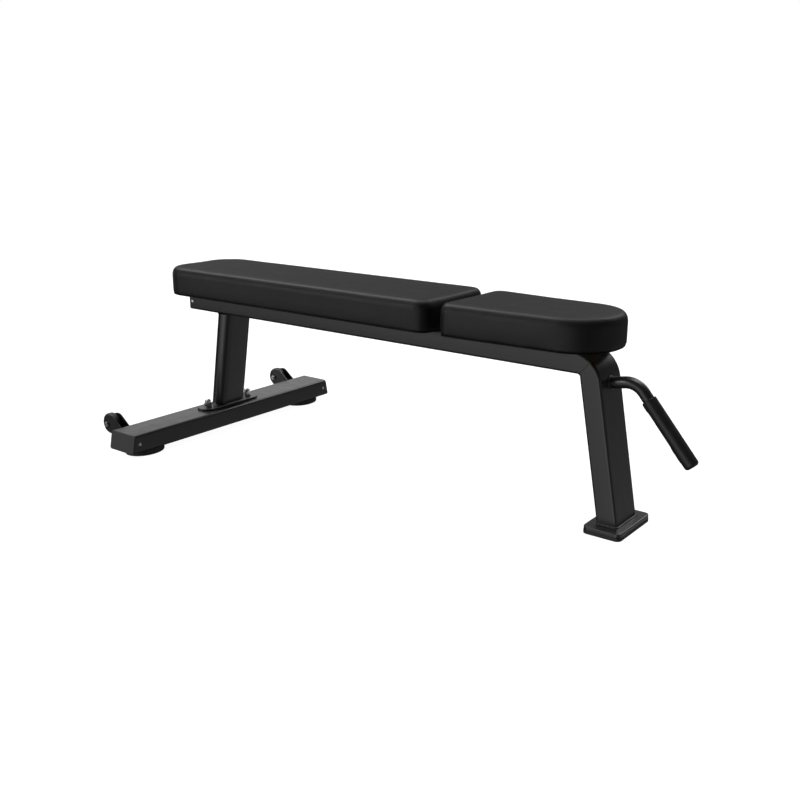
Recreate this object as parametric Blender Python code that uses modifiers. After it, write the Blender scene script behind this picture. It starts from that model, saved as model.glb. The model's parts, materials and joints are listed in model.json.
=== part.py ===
"""Flat weight bench: two upholstered pads on a welded tube frame, with a lifting handle and two wheels.

Metres, +Z up.  X runs along the bench from the wheels to the handle, Y across it.
The origin is on the floor, under the middle of the bench's bounding box.
"""

import math

import bmesh
import bpy
from mathutils import Matrix, Vector
from mathutils.geometry import convex_hull_2d

# ---------------------------------------------------------------- driving dimensions

GAP = 0.0003                     # clearance between neighbouring pieces

TUBE_WIDTH = 0.090               # every frame tube is 90 x 45 mm, 3 mm wall
TUBE_DEPTH = 0.045
TUBE_WALL = 0.003
TUBE_CORNER = 0.006

REAR_X = -0.5785                 # the cross foot's centre line along X

CROSS_FOOT_TOP = 0.060
CROSS_FOOT_BOTTOM = CROSS_FOOT_TOP - TUBE_DEPTH
CROSS_FOOT_HALF_TOP = 0.340      # half length along the top, caps included
CROSS_FOOT_HALF_BOTTOM = 0.349   # half length along the bottom, caps included
CAP_FLANGE = 0.003
CAP_PLUG_LENGTH = 0.028
CAP_SCREW_Y = 0.327
CAP_SCREW_Z = 0.037

RUBBER_FOOT_HALF = (0.0410, 0.0505)      # half sizes of the oval foot along X and Y
RUBBER_FOOT_Y = 0.279

BEAM_BOTTOM = 0.3125
BEAM_TOP = BEAM_BOTTOM + TUBE_DEPTH
BEAM_START_X = REAR_X - 0.0785   # outer face of the beam's end cap
BEAM_SCREW_X = BEAM_START_X + 0.0125
BEAM_SCREW_Z = 0.3335

REAR_LEG_LEAN = 0.169            # X travelled per metre of height
REAR_LEG_WIDTH = 0.094           # a flat oval tube, its long side across the bench
REAR_LEG_PLATE = (0.054, 0.194, 0.005)
REAR_LEG_BOLT_Y = 0.070

FRONT_LEG_LEAN = -0.1836
FRONT_LEG_INNER_X = REAR_X + 1.1135      # the leg's inner face, carried down to the floor
FRONT_BEND_RADIUS = 0.068               # outer rounding from the beam into the front leg
FRONT_PLATE = (0.081, 0.142, 0.008)
FRONT_PLATE_X = REAR_X + 1.1340
FRONT_SOLE_HEIGHT = 0.008

PAD_BOTTOM = 0.3632
PAD_TOP = 0.430
PAD_TOP_ROUND = 0.014
PAD_BOTTOM_ROUND = 0.006
BACK_PAD = (REAR_X - 0.101, REAR_X + 0.738)
BACK_PAD_HALVES = (0.119, 0.119)        # half widths at the wheel end and at the seat end
BACK_PAD_CORNERS = (0.074, 0.030)       # plan radii at the same ends
SEAT_PAD = (REAR_X + 0.762, REAR_X + 1.120)
SEAT_PAD_HALVES = (0.1155, 0.0980)
SEAT_PAD_CORNERS = (0.024, 0.098)
BOARD_INSET = 0.014
BOARD_THICKNESS = 0.012

BRACKET_THICKNESS = 0.004
BRACKET_SPAN = 0.160
PAD_SCREW_Y = 0.056
REAR_BRACKET_X = REAR_X + 0.075
MIDDLE_BRACKET_X = REAR_X + 0.752
FRONT_BRACKET_X = REAR_X + 0.985
NARROW_BRACKET = 0.040
WIDE_BRACKET = 0.110
MIDDLE_SCREW_SPREAD = 0.038

WHEEL_X = REAR_X - 0.106
WHEEL_Z = 0.055
WHEEL_Y = 0.294
WHEEL_RADIUS = 0.0265
WHEEL_WIDTH = 0.0180
WHEEL_BORE = 0.0075
BUSH_RADIUS = 0.0071
AXLE_RADIUS = 0.0039
CHEEK_THICKNESS = 0.0035
CHEEK_GAP = 0.0206               # clear width between the two cheeks
CHEEK_END = (0.0050, 0.0030, 0.0213)      # round end: X and Z from the axle, and radius
CHEEK_CROWN = (0.0125, 0.0050, 0.0210)    # high part, given the same way

HANDLE_RADIUS = 0.012
HANDLE_WALL = 0.002
HANDLE_BEND_RADIUS = 0.042
HANDLE_DROP = math.radians(49.9)
# the corner where the two straight runs of the handle would meet
HANDLE_CORNER = (REAR_X + 1.1576, 0.3049)
HANDLE_RUN = 0.075               # from that corner back to the end inside the leg
GRIP_RADIUS = 0.0148
GRIP_START = 0.0409              # from the corner point to the grip's upper end
GRIP_LENGTH = 0.1505

ROUND_STEPS = 30

# ---------------------------------------------------------------- scene and materials

for old in list(bpy.data.objects):
    bpy.data.objects.remove(old, do_unlink=True)

PARTS = bpy.data.collections.new("flat_weight_bench")
CUTTERS = bpy.data.collections.new("cutters")
bpy.context.scene.collection.children.link(PARTS)
bpy.context.scene.collection.children.link(CUTTERS)


def material(name, colour, metallic, roughness):
    made = bpy.data.materials.new(name)
    made.use_nodes = True
    shader = made.node_tree.nodes["Principled BSDF"]
    shader.inputs["Base Color"].default_value = (*colour, 1.0)
    shader.inputs["Metallic"].default_value = metallic
    shader.inputs["Roughness"].default_value = roughness
    made.diffuse_color = (*colour, 1.0)
    return made


POWDER_COAT = material("black_powder_coat", (0.020, 0.020, 0.021), 0.0, 0.42)
VINYL = material("black_vinyl", (0.012, 0.012, 0.012), 0.0, 0.45)
RUBBER = material("black_rubber", (0.018, 0.018, 0.018), 0.0, 0.70)
PLASTIC = material("black_plastic", (0.025, 0.025, 0.026), 0.0, 0.50)
PLYWOOD = material("plywood", (0.45, 0.31, 0.18), 0.0, 0.65)
ZINC = material("zinc_plate", (0.62, 0.63, 0.64), 1.0, 0.30)
NYLON = material("white_nylon", (0.75, 0.74, 0.70), 0.0, 0.45)

# ---------------------------------------------------------------- shape helpers


def place(mesh, name, look):
    """Put a finished mesh in the bench's collection as one named part."""
    part = bpy.data.objects.new(name, mesh)
    mesh.name = name
    mesh.materials.clear()
    mesh.materials.append(look)
    PARTS.objects.link(part)
    mesh.shade_smooth()
    mesh.set_sharp_from_angle(angle=math.radians(35))
    return part


def as_cutter(part):
    """Turn a part into a hidden cutter."""
    PARTS.objects.unlink(part)
    CUTTERS.objects.link(part)
    part.hide_render = True
    part.display_type = 'WIRE'
    return part


def boolean(part, other, operation='DIFFERENCE'):
    modifier = part.modifiers.new(operation.lower() + "_" + other.name, 'BOOLEAN')
    modifier.operation = operation
    modifier.object = other
    return part


def cut(part, *others):
    for other in others:
        boolean(part, as_cutter(other))
    return part


def join(part, other):
    return boolean(part, as_cutter(other), 'UNION')


def arc(centre, radius, start, stop, steps):
    """Points on an arc from one angle to another, in radians."""
    turn = [start + (stop - start) * i / steps for i in range(steps + 1)]
    return [(centre[0] + radius * math.cos(a), centre[1] + radius * math.sin(a)) for a in turn]


def rounded_rectangle(width, height, radius, steps=4):
    """Outline about the origin, anticlockwise, its first coordinate spanning width."""
    x = width / 2 - radius
    y = height / 2 - radius
    quarter = math.pi / 2
    corners = [(x, y), (-x, y), (-x, -y), (x, -y)]
    outline = []
    for i, corner in enumerate(corners):
        outline += arc(corner, radius, i * quarter, (i + 1) * quarter, steps)
    return outline


def pad_outline(span, halves, corners, inset=0.0):
    """Plan outline of a pad, with its own half width and corner radius at each end."""
    start, stop = span
    slope = (halves[0] - halves[1]) / (stop - start)
    tilt = math.atan(slope)
    near, far = [radius - inset for radius in corners]

    def centre(x, radius):
        return x, halves[0] - slope * (x - start) - (inset + radius) / math.cos(tilt)

    upper = arc(centre(stop - inset - far, far), far, 0, math.pi / 2 - tilt, 14)
    upper += arc(centre(start + inset + near, near), near, math.pi / 2 - tilt, math.pi, 14)
    return upper + [(x, -y) for x, y in reversed(upper)]


def sheet(outlines, thickness):
    """Closed mesh of flat outlines (a solid and its holes) thickened along Z about z = 0."""
    curve = bpy.data.curves.new("outline", 'CURVE')
    curve.dimensions = '2D'
    curve.fill_mode = 'BOTH'
    curve.extrude = thickness / 2
    for outline in outlines:
        spline = curve.splines.new('POLY')
        spline.points.add(len(outline) - 1)
        for point, (x, y) in zip(spline.points, outline):
            point.co = (x, y, 0.0, 1.0)
        spline.use_cyclic_u = True
    return curve_mesh(curve)


def curve_mesh(curve):
    """Welded mesh of a curve object, which is then removed."""
    holder = bpy.data.objects.new("curve", curve)
    bpy.context.scene.collection.objects.link(holder)
    bpy.context.view_layer.update()
    evaluated = holder.evaluated_get(bpy.context.evaluated_depsgraph_get())
    mesh = bpy.data.meshes.new_from_object(evaluated)
    bpy.data.objects.remove(holder, do_unlink=True)
    shape = bmesh.new()
    shape.from_mesh(mesh)
    bmesh.ops.remove_doubles(shape, verts=shape.verts, dist=0.00001)
    bmesh.ops.dissolve_limit(shape, angle_limit=math.radians(0.5), verts=shape.verts, edges=shape.edges)
    bmesh.ops.recalc_face_normals(shape, faces=shape.faces)
    shape.to_mesh(mesh)
    shape.free()
    return mesh


def round_edges(mesh, width, segments, wanted):
    """Bevel the sharp edges whose middle point passes a test."""
    shape = bmesh.new()
    shape.from_mesh(mesh)
    chosen = []
    for edge in shape.edges:
        middle = (edge.verts[0].co + edge.verts[1].co) / 2
        if edge.calc_face_angle(0.0) > math.radians(60) and wanted(middle):
            chosen.append(edge)
    bmesh.ops.bevel(shape, geom=chosen, offset=width, segments=segments, profile=0.5, affect='EDGES')
    bmesh.ops.recalc_face_normals(shape, faces=shape.faces)
    shape.to_mesh(mesh)
    shape.free()
    return mesh


def move(mesh, *steps):
    """Apply matrices to a mesh, first one first."""
    for step in steps:
        mesh.transform(step)
    return mesh


def shifted(x, y, z):
    return Matrix.Translation((x, y, z))


STAND_UP = Matrix.Rotation(math.radians(90), 4, 'X')      # an XY outline becomes an XZ outline
ALONG_X = Matrix.Rotation(math.radians(90), 4, 'Y')       # Z becomes X
ALONG_Y = Matrix.Rotation(math.radians(-90), 4, 'X')      # Z becomes Y


def turned(name, profile, look, *steps, sides=ROUND_STEPS):
    """A profile of (radius, height) points, top to bottom, turned about Z and then placed."""
    mesh = bpy.data.meshes.new(name)
    points = [(radius, 0.0, height) for radius, height in profile]
    mesh.from_pydata(points, [(i, i + 1) for i in range(len(points) - 1)], [])
    part = place(mesh, name, look)
    part.matrix_world = Matrix.Identity(4)
    for step in steps:
        part.matrix_world = step @ part.matrix_world
    screw = part.modifiers.new("turn", 'SCREW')
    screw.steps = sides
    screw.render_steps = sides
    screw.use_merge_vertices = True
    screw.merge_threshold = 0.00001
    screw.use_smooth_shade = True
    return part


def rod(name, radius, bottom, top, look, *steps, sides=24):
    """A plain round bar along Z."""
    return turned(name, [(0, top), (radius, top), (radius, bottom), (0, bottom)], look, *steps, sides=sides)


def block(name, size, centre, look, rounding=0.0):
    shape = bmesh.new()
    bmesh.ops.create_cube(shape, size=1.0, matrix=Matrix.Diagonal((*size, 1.0)))
    if rounding:
        bmesh.ops.bevel(shape, geom=shape.edges, offset=rounding, segments=2, profile=0.5, affect='EDGES')
    mesh = bpy.data.meshes.new(name)
    shape.to_mesh(mesh)
    shape.free()
    move(mesh, shifted(*centre))
    return place(mesh, name, look)


def hexagon(across_flats):
    corner = across_flats / math.sqrt(3)
    return arc((0, 0), corner, 0, math.radians(300), 5)


def chamfer(part, across_flats, height, *steps):
    """Turn the upper corners off a hexagon that stands on z = 0."""
    flat = across_flats / 2
    reach = flat * 1.22
    profile = [(0, height), (flat * 0.96, height), (reach, height * 0.72), (reach, -0.001), (0, -0.001)]
    crown = turned(part.name + "_crown", profile, ZINC, *steps, sides=24)
    return boolean(part, as_cutter(crown), 'INTERSECT')


def hex_bolt(name, across_flats, head, radius, length, *steps, crowned=True):
    """Hexagon head above z = 0 and a shank below it, placed by the matrices."""
    mesh = sheet([hexagon(across_flats)], head)
    move(mesh, shifted(0, 0, head / 2), *steps)
    bolt = place(mesh, name, ZINC)
    if crowned:
        chamfer(bolt, across_flats, head, *steps)
    return join(bolt, rod(name + "_shank", radius, -length, head / 2, ZINC, *steps, sides=16))


def hex_nut(name, across_flats, height, bore, *steps):
    """Hexagon nut above z = 0."""
    mesh = sheet([hexagon(across_flats), arc((0, 0), bore, 0, math.radians(337.5), 15)], height)
    move(mesh, shifted(0, 0, height / 2), *steps)
    return chamfer(place(mesh, name, ZINC), across_flats, height, *steps)


def pan_screw(name, head_radius, head, radius, length, *steps):
    """Domed screw head above z = 0 and its shank below."""
    profile = [(0, head), (head_radius * 0.55, head), (head_radius * 0.88, head * 0.72),
               (head_radius, head * 0.3), (head_radius, 0), (radius, 0), (radius, -length), (0, -length)]
    return turned(name, profile, ZINC, *steps, sides=14)


# ---------------------------------------------------------------- cross foot and its fittings


def slanted(mesh):
    """Lean a vertical end outwards towards the floor, at the +Y end."""
    slope = (CROSS_FOOT_HALF_BOTTOM - CROSS_FOOT_HALF_TOP) / TUBE_DEPTH
    for vertex in mesh.vertices:
        if vertex.co.y > 0:
            vertex.co.y += (CROSS_FOOT_TOP - vertex.co.z) * slope
        else:
            vertex.co.y -= (CROSS_FOOT_TOP - vertex.co.z) * slope
    return mesh


def cross_section(shrink):
    """Outline of the rectangular tube, shrunk by an inset."""
    return rounded_rectangle(TUBE_WIDTH - 2 * shrink, TUBE_DEPTH - 2 * shrink, TUBE_CORNER - shrink * 0.8)


def cross_foot():
    length = 2 * (CROSS_FOOT_HALF_TOP - CAP_FLANGE - GAP)
    mesh = sheet([cross_section(0), cross_section(TUBE_WALL)], length)
    move(mesh, STAND_UP, shifted(REAR_X, 0, CROSS_FOOT_TOP - TUBE_DEPTH / 2))
    part = place(slanted(mesh), "cross_foot", POWDER_COAT)
    for side in (-1, 1):
        y = side * REAR_LEG_BOLT_Y
        cut(part, rod("top_hole", 0.0055, 0.045, 0.070, ZINC, shifted(REAR_X, y, 0)))
        y = side * RUBBER_FOOT_Y
        cut(part, rod("foot_hole", 0.0045, 0.005, 0.030, ZINC, shifted(REAR_X, y, 0)))
        y = side * CAP_SCREW_Y
        steps = (ALONG_X, shifted(REAR_X, y, CAP_SCREW_Z))
        cut(part, rod("cap_hole", 0.0025, 0.035, 0.055, ZINC, *steps, sides=12))
    return part


def cross_foot_cap(side, name):
    """Plastic plug with a flange that follows the tube's slanted end."""
    outer = CROSS_FOOT_HALF_TOP
    flange = sheet([cross_section(0)], CAP_FLANGE)
    middle = CROSS_FOOT_TOP - TUBE_DEPTH / 2
    move(flange, STAND_UP, shifted(REAR_X, side * (outer - CAP_FLANGE / 2), middle))
    round_edges(flange, 0.0012, 2, lambda p: abs(p.y) > outer - CAP_FLANGE / 2)
    part = place(slanted(flange), name, PLASTIC)
    length = CAP_PLUG_LENGTH
    plug = sheet([cross_section(TUBE_WALL + GAP), cross_section(TUBE_WALL + 0.0035)], length)
    move(plug, STAND_UP, shifted(REAR_X, side * (outer - CAP_FLANGE / 2 - length / 2), middle))
    join(part, place(slanted(plug), name + "_plug", PLASTIC))
    steps = (ALONG_X, shifted(REAR_X, side * CAP_SCREW_Y, CAP_SCREW_Z))
    return cut(part, rod("pilot", 0.0024, 0.030, 0.055, ZINC, *steps, sides=12))


def rubber_foot(side, name):
    """Oval foot with an eased lower rim and a counterbore for its screw."""
    top = CROSS_FOOT_BOTTOM - GAP
    half_x, half_y = RUBBER_FOOT_HALF
    outline = [(half_x * x, half_y * y) for x, y in arc((0, 0), 1.0, 0, math.radians(351), 39)]
    mesh = sheet([outline], top)
    round_edges(mesh, 0.0022, 2, lambda p: p.z < 0)
    spot = shifted(REAR_X, side * RUBBER_FOOT_Y, 0)
    part = place(move(mesh, shifted(0, 0, top / 2), spot), name, RUBBER)
    hole = rod(name + "_hole", 0.0045, -0.01, 0.03, ZINC, spot)
    return cut(part, hole, rod(name + "_counterbore", 0.011, -0.01, 0.007, ZINC, spot))


def foot_screw(side, name):
    flip = Matrix.Rotation(math.pi, 4, 'X')
    steps = (flip, shifted(REAR_X, side * RUBBER_FOOT_Y, 0.007 - GAP))
    return pan_screw(name, 0.0085, 0.0045, 0.0040, 0.020, *steps)


def cap_screw(side, name):
    face = REAR_X + TUBE_WIDTH / 2 + GAP
    return pan_screw(name, 0.0042, 0.0022, 0.0020, 0.012, ALONG_X,
                     shifted(face, side * CAP_SCREW_Y, CAP_SCREW_Z))


# ---------------------------------------------------------------- rear leg


def flat_oval(width, length, steps=12):
    """Racetrack outline about the origin, its long side along Y."""
    radius = width / 2
    reach = length / 2 - radius
    upper = arc((0, reach), radius, 0, math.pi, steps)
    return upper + arc((0, -reach), radius, math.pi, 2 * math.pi, steps)


def rear_leg():
    """Flat oval tube, leaning so that its foot is behind its head, both ends cut level."""
    bottom = CROSS_FOOT_TOP + GAP + REAR_LEG_PLATE[2] + GAP
    top = BEAM_BOTTOM - GAP
    width, length = TUBE_DEPTH, REAR_LEG_WIDTH
    hollow = flat_oval(width - 2 * TUBE_WALL, length - 2 * TUBE_WALL)
    mesh = sheet([flat_oval(width, length), hollow], top - bottom)
    lean = Matrix.Shear('XY', 4, (REAR_LEG_LEAN, 0))
    rise = (top - bottom) / 2
    move(mesh, shifted(0, 0, rise), lean, shifted(REAR_X, 0, bottom))
    return place(mesh, "rear_leg", POWDER_COAT)


def rear_leg_plate():
    width, length, thickness = REAR_LEG_PLATE
    mesh = sheet([flat_oval(width, length)], thickness)
    round_edges(mesh, 0.0010, 2, lambda p: p.z > 0)
    move(mesh, shifted(REAR_X, 0, CROSS_FOOT_TOP + GAP + thickness / 2))
    part = place(mesh, "rear_leg_plate", POWDER_COAT)
    for side in (-1, 1):
        y = side * REAR_LEG_BOLT_Y
        cut(part, rod("plate_hole", 0.0055, 0.050, 0.075, ZINC, shifted(REAR_X, y, 0)))
    return part


def dome_nut(name, across_flats, flats, height, bore, *steps):
    """Cap nut above z = 0: a hexagon under a dome, with a blind bore."""
    mesh = sheet([hexagon(across_flats)], flats)
    move(mesh, shifted(0, 0, flats / 2), *steps)
    nut = chamfer(place(mesh, name, ZINC), across_flats, flats, *steps)
    radius = across_flats * 0.46
    rise = height - radius * 0.62
    dome = [(radius * math.cos(a), rise + radius * 0.62 * math.sin(a)) for a in
            (math.pi / 2 * i / 6 for i in range(6, -1, -1))]
    dome[0] = (0, height)
    dome += [(radius, flats * 0.7), (0, flats * 0.7)]
    join(nut, turned(name + "_dome", dome, ZINC, *steps, sides=24))
    return cut(nut, rod(name + "_bore", bore, -0.01, height - 0.0045, ZINC, *steps, sides=20))


def rear_leg_fastening(side, suffix):
    """Bolt from inside the cross foot, and the washer and cap nut on the leg's plate."""
    y = side * REAR_LEG_BOLT_Y
    seat = CROSS_FOOT_TOP + GAP + REAR_LEG_PLATE[2] + GAP
    washer = [(0.0055, 0.002), (0.0100, 0.002), (0.0100, 0), (0.0055, 0), (0.0055, 0.002)]
    turned("leg_washer_" + suffix, washer, ZINC, shifted(REAR_X, y, seat), sides=28)
    twist = Matrix.Rotation(math.radians(12 * side), 4, 'Z')
    base = seat + 0.002 + GAP
    dome_nut("leg_nut_" + suffix, 0.0165, 0.0085, 0.0180, 0.0051, twist, shifted(REAR_X, y, base))
    flip = Matrix.Rotation(math.pi, 4, 'X')
    under = CROSS_FOOT_TOP - TUBE_WALL - GAP
    length = base + 0.0110 - under
    hex_bolt("leg_bolt_" + suffix, 0.016, 0.0066, 0.0048, length, flip, shifted(REAR_X, y, under))


# ---------------------------------------------------------------- beam and front leg


def side_outline(inset):
    """Side view of the beam running into the front leg, shrunk by an inset, in X and Z."""
    lean = math.hypot(1, FRONT_LEG_LEAN)
    top = BEAM_TOP - inset
    bottom = BEAM_BOTTOM + inset
    inner_floor = FRONT_LEG_INNER_X + inset * lean
    outer_floor = FRONT_LEG_INNER_X + (TUBE_DEPTH - inset) * lean
    start = BEAM_START_X - 0.05
    below = -0.05
    inner_x = inner_floor + FRONT_LEG_LEAN * bottom
    outer_x = outer_floor + FRONT_LEG_LEAN * top
    turn = math.pi / 2 - math.atan(-FRONT_LEG_LEAN)
    outer_radius = FRONT_BEND_RADIUS - inset
    inner_radius = 0.006 + inset
    outer_centre = (outer_x - outer_radius * math.tan(turn / 2), top - outer_radius)
    inner_centre = (inner_x - inner_radius * math.tan(turn / 2), bottom - inner_radius)
    outline = [(start, bottom)]
    outline += arc(inner_centre, inner_radius, math.pi / 2, math.pi / 2 - turn, 6)
    outline.append((inner_floor + FRONT_LEG_LEAN * below, below))
    outline.append((outer_floor + FRONT_LEG_LEAN * below, below))
    outline += arc(outer_centre, outer_radius, math.pi / 2 - turn, math.pi / 2, 14)
    outline.append((start, top))
    return outline


def bent_tube(name):
    """The hollow tube of beam and front leg together, longer than needed at both ends."""
    body = move(sheet([side_outline(0)], TUBE_WIDTH), STAND_UP)
    round_edges(body, TUBE_CORNER, 4, lambda p: abs(p.y) > TUBE_WIDTH / 2 - 0.001)
    part = place(body, name, POWDER_COAT)
    core = move(sheet([side_outline(TUBE_WALL)], TUBE_WIDTH - 2 * TUBE_WALL), STAND_UP)
    round_edges(core, TUBE_CORNER - 0.8 * TUBE_WALL, 2, lambda p: abs(p.y) > TUBE_WIDTH / 2 - 0.004)
    return cut(part, place(core, name + "_core", POWDER_COAT))


def mitre_side(name, side):
    """Half space on one side of the weld between beam and front leg, 0.15 mm past it."""
    inner = Vector((FRONT_LEG_INNER_X + FRONT_LEG_LEAN * BEAM_BOTTOM, 0, BEAM_BOTTOM))
    turn = (math.pi / 2 - math.atan(-FRONT_LEG_LEAN)) / 2
    size = 1.6
    part = block(name, (size, 0.3, size), (side * (size / 2 - GAP / 2), 0, 0), POWDER_COAT)
    move(part.data, Matrix.Rotation(turn, 4, 'Y'), Matrix.Translation(inner))
    return part


def main_beam():
    part = bent_tube("main_beam")
    cut(part, mitre_side("beyond_mitre", 1))
    end = BEAM_START_X + CAP_FLANGE + GAP
    cut(part, block("beyond_end", (0.2, 0.2, 0.2), (end - 0.1, 0, BEAM_TOP - 0.02), POWDER_COAT))
    steps = (STAND_UP, shifted(BEAM_SCREW_X, 0, BEAM_SCREW_Z))
    return cut(part, rod("screw_hole", 0.0025, 0.035, 0.055, ZINC, *steps, sides=12))


def front_leg():
    part = bent_tube("front_leg")
    cut(part, mitre_side("before_mitre", -1))
    bottom = FRONT_SOLE_HEIGHT + GAP + FRONT_PLATE[2] + GAP
    cut(part, block("below_leg", (0.3, 0.2, 0.1), (FRONT_PLATE_X, 0, bottom - 0.05), POWDER_COAT))
    out = handle_out()
    start = handle_corner() - out * HANDLE_RUN
    steps = (out.to_track_quat('Z', 'Y').to_matrix().to_4x4(), Matrix.Translation(start))
    return cut(part, rod("handle_hole", HANDLE_RADIUS + GAP, -0.01, 0.04, ZINC, *steps))


def beam_end_cap():
    middle = BEAM_TOP - TUBE_DEPTH / 2
    turn = Matrix.Rotation(math.radians(90), 4, 'Z')
    flange = sheet([cross_section(0)], CAP_FLANGE)
    round_edges(flange, 0.0012, 2, lambda p: p.z > 0)
    face = (STAND_UP, turn.inverted(), shifted(BEAM_START_X + CAP_FLANGE / 2, 0, middle))
    part = place(move(flange, *face), "beam_end_cap", PLASTIC)
    plug = sheet([cross_section(TUBE_WALL + GAP), cross_section(TUBE_WALL + 0.0035)], CAP_PLUG_LENGTH)
    inside = (STAND_UP, turn, shifted(BEAM_START_X + CAP_FLANGE / 2 + CAP_PLUG_LENGTH / 2, 0, middle))
    join(part, place(move(plug, *inside), "beam_cap_plug", PLASTIC))
    steps = (STAND_UP, shifted(BEAM_SCREW_X, 0, BEAM_SCREW_Z))
    return cut(part, rod("beam_pilot", 0.0024, 0.030, 0.055, ZINC, *steps, sides=12))


def beam_cap_screw():
    side = -TUBE_WIDTH / 2 - GAP
    return pan_screw("beam_cap_screw", 0.0046, 0.0024, 0.0020, 0.012, STAND_UP,
                     shifted(BEAM_SCREW_X, side, BEAM_SCREW_Z))


def front_foot():
    """Steel plate under the front leg, its rubber sole and the two screws between them."""
    width, length, thickness = FRONT_PLATE
    outline = rounded_rectangle(width, length, 0.011, 6)
    plate = round_edges(sheet([outline], thickness), 0.0018, 2, lambda p: p.z > 0)
    move(plate, shifted(FRONT_PLATE_X, 0, FRONT_SOLE_HEIGHT + GAP + thickness / 2))
    plate = place(plate, "front_foot_plate", POWDER_COAT)
    rim = rounded_rectangle(width + 0.001, length + 0.001, 0.0115, 6)
    sole = round_edges(sheet([rim], FRONT_SOLE_HEIGHT), 0.0015, 2, lambda p: p.z < 0)
    sole = place(move(sole, shifted(FRONT_PLATE_X, 0, FRONT_SOLE_HEIGHT / 2)), "front_foot_sole", RUBBER)
    flip = Matrix.Rotation(math.pi, 4, 'X')
    for side, suffix in ((-1, "left"), (1, "right")):
        spot = shifted(FRONT_PLATE_X, side * 0.055, 0)
        cut(sole, rod("sole_hole", 0.0034, -0.01, 0.02, ZINC, spot, sides=12))
        cut(sole, rod("sole_counterbore", 0.0070, -0.01, 0.004, ZINC, spot, sides=16))
        cut(plate, rod("plate_thread", 0.0034, 0.0, 0.0145, ZINC, spot, sides=12))
        lift = shifted(0, 0, 0.004 - GAP)
        pan_screw("sole_screw_" + suffix, 0.0060, 0.0030, 0.0030, 0.010, flip, spot, lift)


# ---------------------------------------------------------------- pads


def pad(name, span, halves, corners):
    """Upholstered foam, a rounded slab with a recess under it for its board."""
    height = PAD_TOP - PAD_BOTTOM
    mesh = sheet([pad_outline(span, halves, corners)], height)
    round_edges(mesh, PAD_TOP_ROUND, 4, lambda p: p.z > 0)
    round_edges(mesh, PAD_BOTTOM_ROUND, 2, lambda p: p.z < -height / 2 + 0.0001)
    part = place(move(mesh, shifted(0, 0, PAD_BOTTOM + height / 2)), name, VINYL)
    depth = 2 * (BOARD_THICKNESS + GAP)
    recess = sheet([pad_outline(span, halves, corners, BOARD_INSET - GAP)], depth)
    return cut(part, place(move(recess, shifted(0, 0, PAD_BOTTOM)), name + "_recess", VINYL))


def board(name, span, halves, corners, screw_xs):
    """Plywood board inside the pad, with blind holes for the bracket screws."""
    mesh = sheet([pad_outline(span, halves, corners, BOARD_INSET)], BOARD_THICKNESS)
    part = place(move(mesh, shifted(0, 0, PAD_BOTTOM + BOARD_THICKNESS / 2)), name, PLYWOOD)
    for x in screw_xs:
        for side in (-1, 1):
            spot = shifted(x, side * PAD_SCREW_Y, PAD_BOTTOM)
            cut(part, rod("board_hole", 0.0034, -0.005, 0.0100, ZINC, spot, sides=12))
    return part


def bracket(name, x, width, screw_xs):
    """Flat steel strap across the beam, welded on, drilled for the pad screws."""
    mesh = sheet([rounded_rectangle(width, BRACKET_SPAN, 0.008)], BRACKET_THICKNESS)
    middle = BEAM_TOP + GAP + BRACKET_THICKNESS / 2
    part = place(move(mesh, shifted(x, 0, middle)), name, POWDER_COAT)
    for screw_x in screw_xs:
        for side in (-1, 1):
            spot = shifted(screw_x, side * PAD_SCREW_Y, middle)
            cut(part, rod("bracket_hole", 0.0036, -0.01, 0.01, ZINC, spot, sides=16))
    return part


def pad_screws(label, screw_xs):
    under = BEAM_TOP
    flip = Matrix.Rotation(math.pi, 4, 'X')
    for i, x in enumerate(screw_xs):
        for side, suffix in ((-1, "left"), (1, "right")):
            spot = shifted(x, side * PAD_SCREW_Y, under)
            hex_bolt(f"{label}_screw_{i + 1}_{suffix}", 0.010, 0.0040, 0.0030, 0.0130, flip, spot,
                     crowned=False)


# ---------------------------------------------------------------- wheels


def cheek_outline():
    """Side view of a wheel cheek in X and Z: round about the axle, high in the middle, wide at the tube."""
    tail = REAR_X - TUBE_WIDTH / 2 - GAP
    points = [(tail, 0.0490), (tail, 0.024)]
    for x, z, radius in (CHEEK_END, CHEEK_CROWN):
        points += arc((WHEEL_X + x, WHEEL_Z + z), radius, 0, 2 * math.pi, 40)
    return [points[i] for i in convex_hull_2d(points)]


def cheek(name, y):
    mesh = move(sheet([cheek_outline()], CHEEK_THICKNESS), STAND_UP)
    round_edges(mesh, 0.0009, 1, lambda p: p.x < REAR_X - TUBE_WIDTH / 2 - 0.002)
    part = place(move(mesh, shifted(0, y, 0)), name, POWDER_COAT)
    steps = (ALONG_Y, shifted(WHEEL_X, y, WHEEL_Z))
    return cut(part, rod("cheek_hole", AXLE_RADIUS + GAP, -0.01, 0.01, ZINC, *steps))


def wheel(name, y):
    """Solid tyre with a rounded tread and a dished side, bored for its bush."""
    half = WHEEL_WIDTH / 2
    rim = WHEEL_RADIUS
    hub = 0.0125
    side = [(WHEEL_BORE, half), (hub, half), (hub + 0.0015, half - 0.0015), (rim - 0.0085, half - 0.0015),
            (rim - 0.0065, half)]
    tread = [(rim - 0.0055 + r, z) for r, z in arc((0, 0), 0.0055, math.pi / 2, 0, 3)]
    tread = [(r, half - 0.0055 + z) for r, z in tread]
    upper = side + tread
    profile = upper + [(r, -z) for r, z in reversed(upper)] + [upper[0]]
    return turned(name, profile, RUBBER, ALONG_Y, shifted(WHEEL_X, y, WHEEL_Z), sides=28)


def bush(name, y):
    half = CHEEK_GAP / 2 - GAP
    bore = AXLE_RADIUS + GAP
    profile = [(bore, half), (BUSH_RADIUS, half), (BUSH_RADIUS, -half), (bore, -half), (bore, half)]
    return turned(name, profile, NYLON, ALONG_Y, shifted(WHEEL_X, y, WHEEL_Z), sides=24)


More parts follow.
